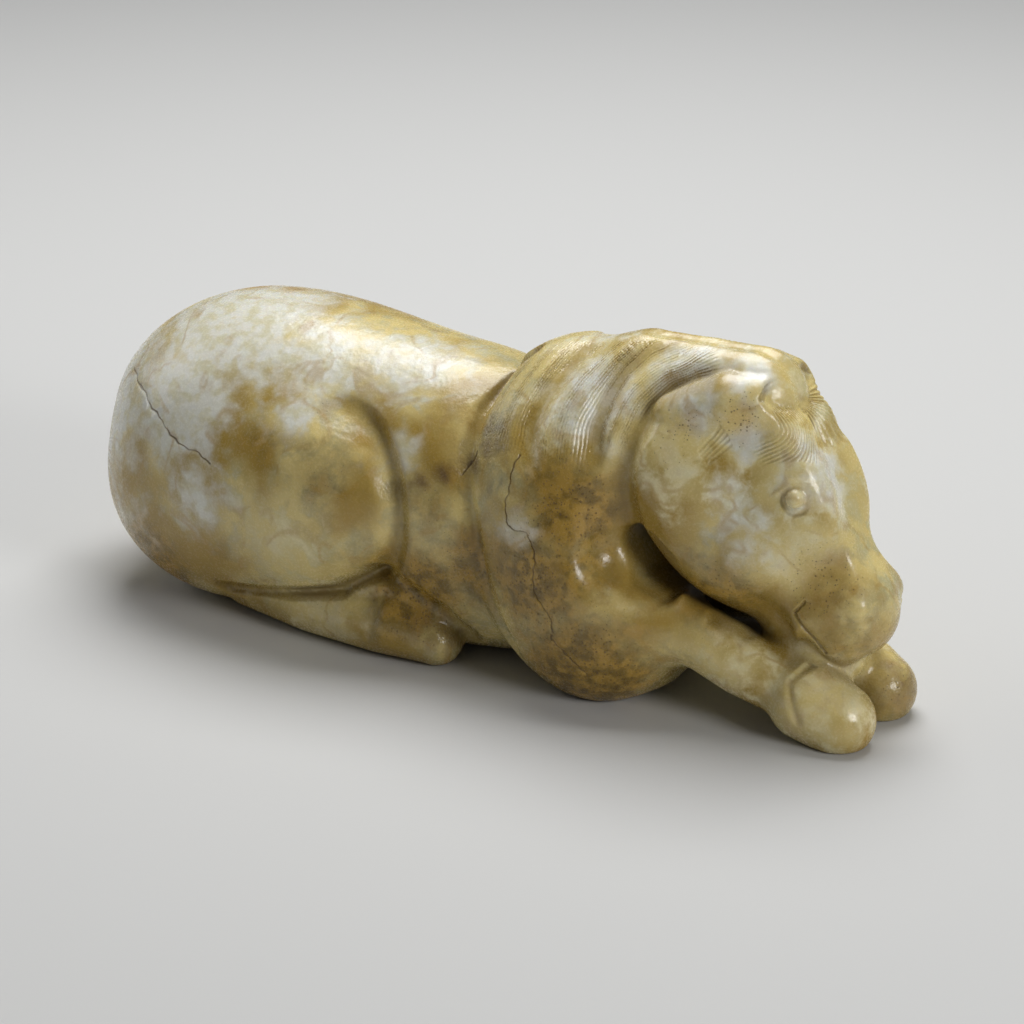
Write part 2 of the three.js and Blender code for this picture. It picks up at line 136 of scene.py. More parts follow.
# Body and hind legs.
rump = egg((-34, 0, 20.4), (24, 19.6, 18.4))
buttock = egg((-37.8, 8.5, 13.3), (16.6, 10, 12.2))
barrel = egg((-10, 0, 19.6), (29, 17, 17.6))
belly = egg((-8, 0, 9), (30, 12.5, 8.6))
thigh_disc = egg((-17.2, 12, 20.4), (11.0, 7.7, 11.0))
haunch = egg((-29, 10.5, 17.5), (17, 10, 14.5))
hind_leg = limb([(-32, 11.5, 4.2, 2.9), (-22, 12.4, 4.3, 3.6), (-11, 12.4, 4.5, 4.0)])
hind_hoof = limb([(-8.5, 12.2, 5.0, 4.5), (-3.6, 11.8, 3.7, 3.3)])
TAIL = [
    (-56.6, 0, 27, 1.2),
    (-57.3, 0.8, 19, 2.0),
    (-54.6, 4.5, 10.5, 2.3),
    (-48.5, 10, 5.8, 2.0),
    (-41, 14.5, 4.6, 1.2),
]
tail = limb(TAIL)

# Neck, chest and forelegs.
neck_base = egg((11.2, 0, 21), (16, 16.4, 20.8))
crest = egg((24, 0, 28.6), (17, 12, 13.9))
poll = limb([(20, 0, 37.5, 6.4), (33.5, 0, 38.7, 5.9)])
shoulder = egg((17, 8.6, 12.6), (11.4, 8, 12.6))
breast = egg((20.5, 4.5, 8.4), (7.6, 7, 7.8))
CHEEK_WIDTH = 9.3
throat = limb([(22.4, 15, 33, 2.2), (22.4, 14.6, 27, 3.4), (23.6, 14, 21.5, 4.6), (27, 14.5, 19, 3.6)])
fore_leg = limb([(20, 8.5, 12.4, 5), (31, 7, 10.8, 4.1), (36, 6.4, 8.3, 3.9), (41, 5.6, 6.4, 3.6)])
fore_hoof = limb([(44.4, 5.5, 5.3, 4.9), (48.2, 5.2, 3.6, 4.4)])
leg_web = egg((31, 0, 7.5), (14, 5, 3.4))
chin_web = egg((42.8, 0, 11.2), (6.2, 5.4, 7))
hole = limb([(23.2, 0, 21.4, 1.8), (24.8, 0, 18.3, 1.8), (27.4, 0, 16.6, 1.3)])
gap_end = limb([(33.4, 0, 14.2, 0.8), (36.8, 0, 13.2, 1.3)])
GAP = 1.0
gap_reach = limb([(24, 0, 19.5, 4), (28, 0, 15.5, 4.5), (34.6, 0, 12.4, 3.6)])

# Carved lines, each a path (x, z) in the side view.
STIFLE = (-17.2, 20.0)
STIFLE_R = 11.1
THIGH_GROOVE = 1.3
THIGH_HALF_WIDTH = 2.3
HOCK_LINE = [(-33, 5.2), (-22.4, 7), (-15.8, 8.6), (-10.4, 12.2)]
HOOF_LINE = [(-9.8, 11.8), (-6.6, 11.2), (-4.4, 9.9), (-1.4, 7.8), (0.6, 5.2)]
FETLOCK_LINE = [(-9.2, 9.4), (-9.6, 6.5), (-10.6, 3.5)]
# The hind leg's lines, each with its depth and half width.
HIND_LEG_GROOVES = [(HOCK_LINE, 1.1, 1.6), (HOOF_LINE, 0.9, 2.1), (FETLOCK_LINE, 0.3, 0.9)]
FORE_FETLOCK_LINE = [(46.2, 11.2), (44.4, 9.6), (43.6, 8.6), (44.6, 6.6), (45.4, 4.6)]
SHOULDER_LINE = [
    (4.4, 40), (2.6, 37), (1.2, 33), (1.4, 29), (2, 26), (3.8, 21), (5.6, 15), (6.6, 11), (8.7, 6),
]
MANE_LINES = [
    [(15.5, 44.5), (12.1, 41.4), (11.3, 39.6), (10.4, 37.4), (10.2, 34), (10.9, 30.7)],
    [(24.5, 45), (21, 43), (19.1, 40.7), (18.2, 38.2), (18.1, 35), (18.6, 31.5)],
]
JOWL_LINE = [
    (33, 42.4), (28.4, 41.2), (26, 39.8), (24.3, 37.8), (22.9, 34.4), (22.2, 31), (22.2, 27), (22.8, 22),
]
SHOULDER_GROOVE = 0.6
SHOULDER_HALF_WIDTH = 1.6
LOCK_HALF_WIDTH = 2.6
JOWL_GROOVE = 1.1
JOWL_HALF_WIDTH = 2.4

# The head, in a frame of its own: a runs down the face from the poll, n stands out of the face.
HEAD = (33, 29)
FACE_TILT = math.radians(29.6)
FACE_SIN = math.sin(FACE_TILT)
FACE_COS = math.cos(FACE_TILT)
cheek_round = egg((-1, 0, -1), (12, 900, 11.6))
jaw = egg((6, 0, -3.8), (10, 9, 7.2))
brow = egg((3.8, 3.9, 7.7), (5.6, 2.4, 3.2))
forelock = egg((-2.9, 2.6, 8.4), (4.4, 3.5, 3))
muzzle = egg((18, 0, 5), (6.4, 5.9, 6))
lip = egg((19.2, 2.6, 2.9), (4.9, 3, 3.6))
nostril = egg((18.2, 4, 8.2), (2.4, 1.7, 1.7))
chin = limb([(12, 0, -0.6, 5.5), (19, 0, -1.8, 4.9)])
EYE = (3.5, 6.6, 8.7)
EYE_R = 1.15
SOCKET = (3.9, 6.4, 8.5)
SOCKET_R = 1.4
SOCKET_DEPTH = 0.2
LID_HEIGHT = 0.3
eyeball = egg(EYE, (EYE_R, EYE_R, EYE_R))
NOSE_HEIGHT = 10
NOSE_HALF_WIDTH = 4.2
NOSE_WAIST = 0.8
MOUTH = 1.5
MOUTH_LINE = [(15.2, 3.6), (15.9, 2.0), (19.1, 2.8), (21.6, 2.95)]
NOSTRIL_LINE = [(18.9, 7.7), (19.5, 9.2)]
# The lines of the face, each with its depth, its half width and how far from the mid-plane it begins.
FACE_GROOVES = [(MOUTH_LINE, 0.25, 0.3, 2), (NOSTRIL_LINE, 0.3, 0.9, 3)]
ear = limb([(36.4, 3.5, 39.6, 3.2), (32.5, 4.6, 39.2, 3.7), (26.4, 7.2, 37.6, 2)])
ear_hollow = egg((-7.6, 3.4, 12.2), (1.7, 3.2, 2.9))
# The crease along the ear's rim, as (a, s).
EAR_RIM_DEPTH = 0.3
EAR_RIM_HALF_WIDTH = 0.6
EAR_RIM = [(-8.3, 5.6), (-9.1, 4.4), (-9.2, 2.4), (-8.8, 0.8)]

# Fine carving. Strokes of hair are HAIR_DEPTH deep.
HAIR_DEPTH = 0.11
LOCK_STROKES = 23
FORELOCK_CURL = (-5.4, 6.5)
FORELOCK_CURL_RADII = (5.4, 3.9)
FORELOCK_CURL_STROKES = 12
FORELOCK_PARTING = [(-8, 0), (-5.5, 0), (-3.2, -1.9), (-0.3, -2.2), (0.6, -2.4)]
FORELOCK_TOP = (-6.2, 0.2)
FORELOCK_FAN_PITCH = math.radians(8.5)
CHEEK_HAIR_DEPTH = 0.12
CHEEK_HAIR_HALF_WIDTH = 0.3
CHEEK_HAIR = [
    ((31.3, 34.6), (33.1, 37.5)), ((31.6, 34.2), (33.4, 37.0)), ((31.9, 33.9), (33.7, 36.5)),
    ((32.2, 33.6), (34.0, 36.0)), ((32.5, 33.3), (34.3, 35.4)),
]
TAIL_HAIR_DEPTH = 0.1
TAIL_HAIR_PITCH = 0.75
FISSURE_DEPTH = 0.15
FISSURE_WIDTH = 0.17
FISSURES = [
    [(-49.9, 29.4), (-45.0, 28.3), (-39.8, 26.0), (-36.9, 24.4), (-34.5, 24.3), (-31.4, 23.4)],
    [(2.8, 29.4), (2.1, 27.8), (1.4, 26.6)],
    [
        (9.6, 30.8), (9.3, 28.4), (9.1, 25.6), (9.6, 23.0), (12.4, 22.6), (13.4, 21.0), (13.7, 19.5),
        (13.8, 15.7), (16.1, 13.0), (16.0, 10.2), (19.9, 6.1),
    ],
]

# The longest edges wanted in the finest lines, the hair of the cheek and mane, the head and elsewhere.
FINE_EDGE = 0.14
CHEEK_HAIR_EDGE = 0.15
MANE_EDGE = 0.2
HEAD_EDGE = 0.4
PLAIN_EDGE = 9.0


def head_frame(x, z):
    dx, dz = x - HEAD[0], z - HEAD[1]
    return FACE_SIN * dx - FACE_COS * dz, FACE_COS * dx + FACE_SIN * dz


def jaw_field(a, s, n):
    """The cheeks and jaw alone, which bound the gap from above."""
    cheek = smooth_max(cheek_round(a, 0, n), s - CHEEK_WIDTH, 5)
    cheek = smooth_max(cheek, 0.9 * (s - CHEEK_WIDTH + 0.48 * (n - 2)), 4)
    return smooth_min(cheek, jaw(a, s, n), 4)


def head_field(x, y, s, z, a, n):
    d = jaw_field(a, s, n)
    d = smooth_min(d, brow(a, s, n), 3)
    # A flat-fronted nose with crisp edges, narrowest half way down.
    width = NOSE_HALF_WIDTH - NOSE_WAIST * bell(a - 13, 6)
    side = (s - width - 0.35 * (NOSE_HEIGHT - n)) * 0.944
    nose = smooth_max(n - NOSE_HEIGHT, side, 1.2)
    nose = smooth_max(nose, np.maximum(a - 19, 0.5 - n), 2.5)
    d = smooth_min(d, smooth_max(nose, 1 - a, 2), 3)
    d = smooth_min(d, forelock(a, s, n), 0.8)
    d = smooth_min(d, chin(a, s, n), 2)
    lips = smooth_min(muzzle(a, s, n), nostril(a, s, n), 1.2)
    lips = smooth_min(lips, lip(a, s, n), 1.5)
    lips = smooth_max(lips, MOUTH - n, 1.5)
    d = smooth_min(d, lips, 1.6)
    for line, depth, half_width, begins in FACE_GROOVES:
        d = d + np.where(s > begins, depth * bell(line_distance(line, a, n), half_width), 0)
    # The socket is deepest below and behind the eye, and the lid stands up above and before it.
    to_socket = np.sqrt((a - SOCKET[0]) ** 2 + (s - SOCKET[1]) ** 2 + (n - SOCKET[2]) ** 2)
    below = (0.6 * (a - SOCKET[0]) - 0.8 * (n - SOCKET[2])) / SOCKET_R
    d = d + SOCKET_DEPTH * bell(to_socket - SOCKET_R, 0.5) * smoothstep(below, -0.5, 0.5)
    d = d - LID_HEIGHT * bell(to_socket - SOCKET_R - 0.7, 0.9) * smoothstep(a - EYE[0], -0.6, -1.8)
    d = smooth_min(d, eyeball(a, s, n), 0.35)
    d = smooth_min(d, ear(x, s, z), 1.2)
    d = smooth_max(d, -ear_hollow(a, s, n), 2.2)
    rim = bell(line_distance(EAR_RIM, a, s), EAR_RIM_HALF_WIDTH)
    d = d + np.where(n > 7, EAR_RIM_DEPTH * rim, 0)
    return d + forelock_hair(y, s, a, n)


def stroke(u):
    """A row of V-shaped strokes, one for each whole number of u, between 0 and 1."""
    return (0.5 + 0.5 * np.cos(2 * math.pi * u)) ** 1.5


def forelock_hair(y, s, a, n):
    """The forelock: strokes that curl outwards from the parting on one side, and fan out on the other."""
    da = np.maximum(a - FORELOCK_CURL[0], 0) / FORELOCK_CURL_RADII[0]
    ds = np.maximum(FORELOCK_CURL[1] - s, 0) / FORELOCK_CURL_RADII[1]
    round_curl = (da ** 2.4 + ds ** 2.4) ** (1 / 2.4)
    curl = stroke(round_curl * FORELOCK_CURL_STROKES)
    curl = curl * smoothstep(round_curl, 0.25, 0.4) * smoothstep(round_curl, 1.5, 1.35)
    angle = np.arctan2(y - FORELOCK_TOP[1], a - FORELOCK_TOP[0])
    reach = np.hypot(y - FORELOCK_TOP[1], a - FORELOCK_TOP[0])
    fan = stroke((angle + 0.02 * reach) / FORELOCK_FAN_PITCH)
    fan = 1.2 * fan * smoothstep(reach, 0.8, 1.8) * smoothstep(a, 1.2, 0.2) * smoothstep(a, -7.6, -6.6)
    near = side_of_line(FORELOCK_PARTING, a, y)
    hair = np.where(near < 0, curl, fan)
    hair = np.maximum(hair, 1.5 * bell(near, 0.3) * smoothstep(a, 0.8, -0.2) * smoothstep(a, -8, -6))
    lower_end = a + 0.85 * np.maximum(s - 4, 0)
    on_face = smoothstep(n, 5.5, 7.5) * smoothstep(a, -7.2, -6.4) * smoothstep(lower_end, 1.6, 0.6)
    return 0.85 * HAIR_DEPTH * hair * on_face * (s < 7.5)


def cheek_hair(x, s, z):
    """A few long strokes on the cheek below the ear."""
    cut = 0
    for line in CHEEK_HAIR:
        cut = np.maximum(cut, bell(line_distance(line, x, z), CHEEK_HAIR_HALF_WIDTH))
    return CHEEK_HAIR_DEPTH * cut * (s > 5)


def mane_hair(x, z, bounds):
    """Strokes that follow each lock of the mane, from the crest down to where they fade on the neck."""
    hair = 0
    for i, (behind, ahead) in enumerate(zip(bounds, bounds[1:])):
        within = (behind > 0) & (ahead < 0)
        across = behind / np.maximum(behind - ahead, 1e-6)
        sway = 0.25 * np.sin(0.55 * z + 2.1 * i) + 0.15 * np.sin(1.3 * z + 0.7 * x)
        count = LOCK_STROKES - 2 * i
        fade = smoothstep(z, 28.5 + i, 32.5 + i)
        edge = smoothstep(across, 0.02, 0.1) * smoothstep(across, 0.98, 0.9)
        depth = 0.75 + 0.25 * np.sin(across * 23 + 0.4 * z + i)
        hair = hair + np.where(within, stroke(across * count + sway) * fade * edge * depth, 0)
    return HAIR_DEPTH * hair


def tail_hair(x, y, z):
    """Long strokes along the tail."""
    best, across = np.inf, 0
    for (ax, ay, az, _), (bx, by, bz, _) in zip(TAIL, TAIL[1:]):
        ux, uy, uz = bx - ax, by - ay, bz - az
        length = math.sqrt(ux * ux + uy * uy + uz * uz)
        t = np.clip(((x - ax) * ux + (y - ay) * uy + (z - az) * uz) / length ** 2, 0, 1)
        px, py, pz = x - ax - t * ux, y - ay - t * uy, z - az - t * uz
        away = np.sqrt(px * px + py * py + pz * pz)
        # Across the tail, at right angles to its run and to the outward direction.
        ox, oy, oz = np.cross((ux, uy, uz), (-1.0, 0.4, 0.0)) / length
        side = px * ox + py * oy + pz * oz
        across = np.where(away < best, side, across)
        best = np.minimum(best, away)
    fade = smoothstep(best, 3.6, 2.6) * smoothstep(x, -40, -44)
    return TAIL_HAIR_DEPTH * stroke(across / TAIL_HAIR_PITCH) * fade


def fissure_depth(x, y, z):
    """Natural cracks on the near side."""
    cut = 0
    wander = 0.12 * np.sin(2.1 * x + 1.3 * z) + 0.07 * np.sin(4.7 * z - 2.2 * x)
    for line in FISSURES:
        cut = np.maximum(cut, bell(side_of_line(line, x, z) + wander, FISSURE_WIDTH))
    faint = 0.8 + 0.2 * np.sin(0.9 * x - 1.1 * z)
    return np.where(y < -4, cut * faint, 0)


def gully(x, y, z):
    """How near each point is to the lines of the mane, jowl, shoulder and thigh."""
    s = np.abs(y)
    near = 0
    for line in (*MANE_LINES, JOWL_LINE, SHOULDER_LINE):
        near = np.maximum(near, bell(line_distance(line, x, z), 2.0) * smoothstep(z, 24, 32))
    arc = np.hypot(x - STIFLE[0], z - STIFLE[1]) - STIFLE_R
    near = np.maximum(near, bell(arc - 0.8, 3.0) * smoothstep(x, -20, -10) * smoothstep(z, 8, 13))
    return near * smoothstep(s, 0.5, 3)


def horse(x, y, z):
    s = np.abs(y)
    d = smooth_min(rump(x, y, z), barrel(x, y, z), 9)
    d = smooth_min(d, buttock(x, s, z), 5)
    d = smooth_min(d, belly(x, y, z), 5)
    thigh = smooth_min(thigh_disc(x, s, z), haunch(x, s, z), 7)
    d = smooth_min(d, thigh, 1.8)
    d = smooth_min(d, tail(x, y, z) + tail_hair(x, y, z), 1)
    arc = np.hypot(x - STIFLE[0], z - STIFLE[1]) - STIFLE_R
    on_thigh = smoothstep(x, -22, -9) * smoothstep(z, 8, 13) * (s > 6)
    d = d + THIGH_GROOVE * bell(arc, THIGH_HALF_WIDTH) * on_thigh
    d = smooth_min(d, smooth_min(hind_leg(x, s, z), hind_hoof(x, s, z), 0.5), 1)
    for line, depth, half_width in HIND_LEG_GROOVES:
        d = d + np.where(s > 8, depth * bell(line_distance(line, x, z), half_width), 0)
    neck = smooth_min(neck_base(x, y, z), crest(x, y, z), 5)
    neck = smooth_min(neck, poll(x, y, z), 3)
    neck = smooth_min(neck, shoulder(x, s, z), 5)
    neck = smooth_min(neck, breast(x, s, z), 2)
    neck = smooth_max(neck, 1.4 - x, 1.5)
    # How far each point lies ahead of the shoulder line, the two mane lines and the jowl line.
    ahead = [side_of_line(line, x, z) for line in (SHOULDER_LINE, *MANE_LINES, JOWL_LINE)]
    lock_depth = smoothstep(z, 27, 34) * (0.05 + 1.05 * smoothstep(s, 1, 6))
    neck = neck + lock_depth * (bell(ahead[1], LOCK_HALF_WIDTH) + bell(ahead[2], LOCK_HALF_WIDTH))
    neck = neck + 0.5 * bell(s, 1.6) * smoothstep(x, 16, 22)
    strokes = mane_hair(x, z, ahead)
    neck = neck + strokes * smoothstep(s, 0.5, 3) * smoothstep(x, 31.5, 28.5)
    d = smooth_min(d, neck, 0.8)
    d = d + np.where(s > 1, SHOULDER_GROOVE * bell(ahead[0], SHOULDER_HALF_WIDTH), 0)
    fore = smooth_min(fore_leg(x, s, z), fore_hoof(x, s, z), 0.8)
    fore = fore + 0.35 * bell(line_distance(FORE_FETLOCK_LINE, x, z), 0.7) * (s > 6)
    d = smooth_min(d, fore, 2.5)
    d = smooth_min(d, leg_web(x, y, z), 1.5)
    d = smooth_max(d, -throat(x, s, z), 3)
    jowl = JOWL_GROOVE * bell(ahead[3], JOWL_HALF_WIDTH)
    d = d + jowl * smoothstep(s, 2, 6) * smoothstep(x, 34, 29)
    d = smooth_min(d, chin_web(x, y, z), 1.6)
    a, n = head_frame(x, z)
    d = smooth_max(d, -np.minimum(hole(x, 0, z), gap_end(x, 0, z)), 1)
    d = smooth_max(d, -np.maximum(jaw_field(a, s, n) - GAP, gap_reach(x, 0, z)), 0.6)
    d = smooth_min(d, head_field(x, y, s, z, a, n), 0.4) + cheek_hair(x, s, z)
    d = d + FISSURE_DEPTH * fissure_depth(x, y, z)
    return smooth_max(d, GROUND - z, 0.3)


def at_points(field, points, chunk=16384):
    """The field at each point, worked out a few thousand points at a time."""
    parts = [field(*points[i:i + chunk].T) for i in range(0, len(points), chunk)]
    return np.concatenate(parts)


def gradient(field, points, values, step=0.02):
    shifted = [at_points(field, points + step * np.eye(3)[axis]) - values for axis in range(3)]
    return np.stack(shifted, axis=1) / step


def net_surface(field, low, high, cell):
    """The surface as a net: one vertex in each cell it crosses, and two triangles for each crossed edge."""
    block = 8
    counts = np.ceil((high - low) / cell / block).astype(int)
    size = counts * block
    blocks = np.meshgrid(*[np.arange(c) * block for c in counts], indexing="ij")
    corners = np.stack(blocks, -1).reshape(-1, 3)
    middle = at_points(field, low + (corners + block / 2) * cell)
    near = np.abs(middle) < block * cell * 0.9 + 2.5
    value = np.repeat(middle, block ** 3).reshape(*counts, block, block, block)
    value = value.transpose(0, 3, 1, 4, 2, 5).reshape(size)
    inner = np.stack(np.meshgrid(*[np.arange(block)] * 3, indexing="ij"), -1).reshape(-1, 3)
    spots = (corners[near][:, None] + inner).reshape(-1, 3)
    value[tuple(spots.T)] = at_points(field, low + spots * cell)
    inside = value < 0
    steps = np.array([[b & 1, (b >> 1) & 1, b >> 2] for b in range(8)])
    shifted = [tuple(slice(o, n - 1 + o) for o, n in zip(step, size)) for step in steps]
    total = sum(inside[part].astype(int) for part in shifted)
    cells = np.argwhere((total > 0) & (total < 8))
    corner = np.stack([value[tuple((cells + step).T)] for step in steps], axis=1)
    place, crossings = np.zeros((len(cells), 3)), np.zeros(len(cells))
    for b in range(8):
        for axis in range(3):
            e = b | (1 << axis)
            if e == b:
                continue
            crossed = (corner[:, b] < 0) != (corner[:, e] < 0)
            share = corner[crossed, b] / (corner[crossed, b] - corner[crossed, e])
            place[crossed] += steps[b] + share[:, None] * np.eye(3)[axis]
            crossings[crossed] += 1
    points = low + (cells + place / crossings[:, None]) * cell
    number = np.full(size, -1)
    number[tuple(cells.T)] = np.arange(len(cells))
    triangles = []
    for axis in range(3):
        one, two = np.eye(3, dtype=int)[(axis + 1) % 3], np.eye(3, dtype=int)[(axis + 2) % 3]
        ahead = np.roll(inside, -1, axis)
        edges = np.argwhere(inside != ahead)
        edges = edges[(edges >= 1).all(1) & (edges < size - 1).all(1)]
        ring = [number[tuple((edges - shift).T)] for shift in (one + two, two, one * 0, one)]
        outward = inside[tuple(edges.T)]
        quads = np.stack(ring, axis=1)
        quads = np.where(outward[:, None], quads, quads[:, ::-1])
        triangles += [quads[:, [0, 1, 2]], quads[:, [0, 2, 3]]]
    return points, np.concatenate(triangles)


def settle(field, points, rounds):
    """Moves the points onto the surface."""
    for _ in range(rounds):
        values = at_points(field, points)
        slope = gradient(field, points, values)
        shift = values / np.maximum((slope ** 2).sum(1), 0.2)
        points = points - np.clip(shift, -0.3, 0.3)[:, None] * slope
    return points


def refine(points, triangles, marked):
    """Splits each marked triangle in four, and its neighbours in two or three to match."""
    ends = np.sort(triangles[:, [[0, 1], [1, 2], [2, 0]]], axis=2)
    keys = ends[..., 0] * len(points) + ends[..., 1]
    edges, index = np.unique(keys, return_inverse=True)
    index = index.reshape(-1, 3)
    split = np.zeros(len(edges), bool)
    split[index[marked]] = True
    middle = np.full(len(edges), -1)
    middle[split] = len(points) + np.arange(split.sum())
    halves = edges[split]
    new_points = (points[halves // len(points)] + points[halves % len(points)]) / 2
    cut = split[index]
    kind = cut.sum(1)
    # Turned so that a lone split edge comes first, and a lone whole edge last.
    first = np.where(kind == 1, cut.argmax(1), (np.where(kind == 2, (~cut).argmax(1), 2) + 1) % 3)
    turn = (first[:, None] + np.arange(3)) % 3
    a, b, c = np.take_along_axis(triangles, turn, 1).T
    ab, bc, ca = np.take_along_axis(middle[index], turn, 1).T
    pieces = {
        0: [(a, b, c)],
        1: [(a, ab, c), (ab, b, c)],
        2: [(ab, b, bc), (a, ab, bc), (a, bc, c)],
        3: [(a, ab, ca), (ab, b, bc), (bc, c, ca), (ab, bc, ca)],
    }
    made = [np.stack(corner, 1)[kind == k] for k, group in pieces.items() for corner in group]
    return np.concatenate([points, new_points]), np.concatenate(made)


def wanted_edge(x, y, z):
    """How long an edge may be at a point: short where the carving is fine."""
    s = np.abs(y)
    a, n = head_frame(x, z)
    edge = np.full(len(x), PLAIN_EDGE)
    on_head = (x > 21) & (n > -13) & (z > 7)
    edge[on_head] = HEAD_EDGE
    sides = [side_of_line(line, x, z) for line in (SHOULDER_LINE, JOWL_LINE)]
    edge[(sides[0] > 0) & (sides[1] < 0) & (z > 28.5)] = MANE_EDGE
    edge[(a > -7.4) & (a < 2) & (n > 6) & (s < 7.6)] = FINE_EDGE
    edge[(a > -8) & (a < -3) & (n > 0) & (n < 5) & (s > 5)] = CHEEK_HAIR_EDGE
    edge[(np.hypot(a - EYE[0], n - EYE[2]) < 2.4) & (s > 3)] = FINE_EDGE
    edge[(line_distance(MOUTH_LINE, a, n) < 0.6) & (s > 2)] = FINE_EDGE
    edge[fissure_depth(x, y, z) > 0] = FINE_EDGE
    return edge


def carve():
    points, triangles = net_surface(horse, LOW, HIGH, CELL)
    points = settle(horse, points, 1)
    for _ in range(REFINEMENTS):
        corners = points[triangles]
        longest = np.linalg.norm(corners - np.roll(corners, 1, axis=1), axis=2).max(1)
        wanted = at_points(wanted_edge, corners.mean(1))
        points, triangles = refine(points, triangles, longest > 1.3 * wanted)
        points = settle(horse, points, 1)
    return settle(horse, points, 1), triangles


def new_mesh(name, points, triangles):
    mesh = bpy.data.meshes.new(name)
    mesh.vertices.add(len(points))
    mesh.vertices.foreach_set("co", points.astype(np.float32).ravel())
    mesh.loops.add(triangles.size)
    mesh.loops.foreach_set("vertex_index", triangles.astype(np.int32).ravel())
    mesh.polygons.add(len(triangles))
    mesh.polygons.foreach_set("loop_start", np.arange(0, triangles.size, 3, dtype=np.int32))
    mesh.update(calc_edges=True)
    mesh.validate()
    return mesh


def thin_out(mesh, most):
    """Collapses the least needed edges until the mesh has at most the given number of triangles."""
    holder = bpy.data.objects.new("thinning", mesh)
    bpy.context.scene.collection.objects.link(holder)
    modifier = holder.modifiers.new("collapse", "DECIMATE")
    modifier.ratio = min(1, most / len(mesh.polygons))
    bpy.context.view_layer.update()
    evaluated = holder.evaluated_get(bpy.context.evaluated_depsgraph_get())
    thinned = bpy.data.meshes.new_from_object(evaluated)
    bpy.data.objects.remove(holder)
    return thinned


def mesh_points(mesh):
    points = np.zeros(len(mesh.vertices) * 3, np.float32)
    mesh.vertices.foreach_get("co", points)
    return points.reshape(-1, 3).astype(float)


def add_attribute(mesh, name, values):
    attribute = mesh.attributes.new(name, "FLOAT", "POINT")
    attribute.data.foreach_set("value", values.astype(np.float32))


# Stains and clouds of the stone, with painted shade low on the body and a painted highlight on the back, each
# (x, y, z, radius, strength) in the drawing frame.
CREAM_PARTS = [
    (24, -6, 39, 13, 1.0), (36, -5, 38, 9, 1.0), (42, -4, 33, 9, 0.9), (41, -5, 24, 9, 0.8),
    (30, -8, 31, 8, 0.7), (36, -7, 9, 8, 0.8), (46, -5, 6, 8, 1.1), (50, 4, 6, 7, 0.6),
    (13, -12, 37, 8, 0.8), (26, 8, 38, 14, 0.9), (40, 7, 28, 12, 0.7), (44, 7, 8, 9, 0.7),
    (10, -1, 42, 9, 0.9), (-22, -17, 16, 10, 0.7), (-18, -14, 5, 9, 0.9), (-4, -15, 5, 6, 0.5),
    (29, -9, 36, 6, 1.0),
]
# White clouds of the stone; the one on the back at (-10, -6, 36) is partly a painted highlight.
WHITE_CLOUDS_AND_BACK_HIGHLIGHT = [
    (-36, -6, 35, 15, 1.1), (-50, -8, 24, 13, 1.1), (-46, -12, 14, 9, 0.7), (-22, -9, 35, 9, 0.9),
    (-10, -6, 36, 9, 0.8), (-7, -15, 28, 4.5, 0.6), (-38, -15, 28, 9, 1.4), (-33, -18, 19, 7, 0.8),
    (-21, -16, 30, 4, 0.9), (37, -8, 26, 6, 0.6), (34, -8, 31, 4, 0.6), (43, -3, 32, 5, 1.0),
    (17, -9, 38, 7, 0.9), (27, -5, 42, 6, 1.0), (36, -7, 36, 3.5, 0.8), (34, -4, 42, 5, 0.8),
    (11, -15, 23, 3.5, 0.8), (-36, 10, 33, 13, 0.9), (-10, 10, 32, 9, 0.7), (38, 8, 27, 7, 0.5),
    (-54, 2, 26, 10, 0.8), (14, 3, 42, 8, 0.6), (-56, -9, 17, 8, 1.1), (30, -7, 40, 5, 0.9),
]
# Olive stains of the stone; those low on the near side and the one beneath the belly at (-8, 0, 2) are painted
# shade near the floor.
OLIVE_STAINS_AND_LOW_SHADE = [
    (-16, -17, 24, 7, 0.6), (-28, -16, 13, 9, 0.5), (-4, -16, 11, 9, 1.1), (-24, -17, 26, 5, 0.7),
    (17, -14, 26, 8, 1.05), (14, -15, 17, 9, 1.1), (4, -13, 16, 8, 0.9), (19, -12, 7, 10, 1.4),
    (34, -7, 18, 7, 0.9), (-22, 16, 18, 13, 0.8), (15, 14, 20, 13, 0.7), (-8, 0, 2, 22, 0.7),
    (-43, -13, 8, 9, 1.2), (-44, 12, 12, 10, 0.6), (49, -4, 13, 7, 0.5), (44, -7, 17, 5, 0.3),
    (47, -4, 23, 5, 0.25), (51, 4, 4, 6, 0.6), (-12, -16, 20, 4, 0.6), (-2, -13, 24, 6, 0.8),
]
RUSSET_STAINS = [
    (-41, 3, 38.4, 4.5, 0.9), (-35, 3, 38.8, 4, 0.8), (-47, -9, 31, 4, 0.5), (-26, -4, 37.4, 4, 0.5),
    (-4, -9, 30, 6, 0.5), (1, -10, 33, 5, 0.6), (-16, -16, 17, 4, 0.4), (52, -1, 15, 6, 0.5),
    (34.5, -6, 38.5, 4, 0.9), (27, -9, 34, 5, 0.5), (46, -5, 20, 7, 0.75), (52, 3, 6, 5, 0.5),
    (-4, 11, 33, 8, 0.5), (-18, -14, 31, 4, 0.5), (29, -9, 37, 4, 0.6),
]
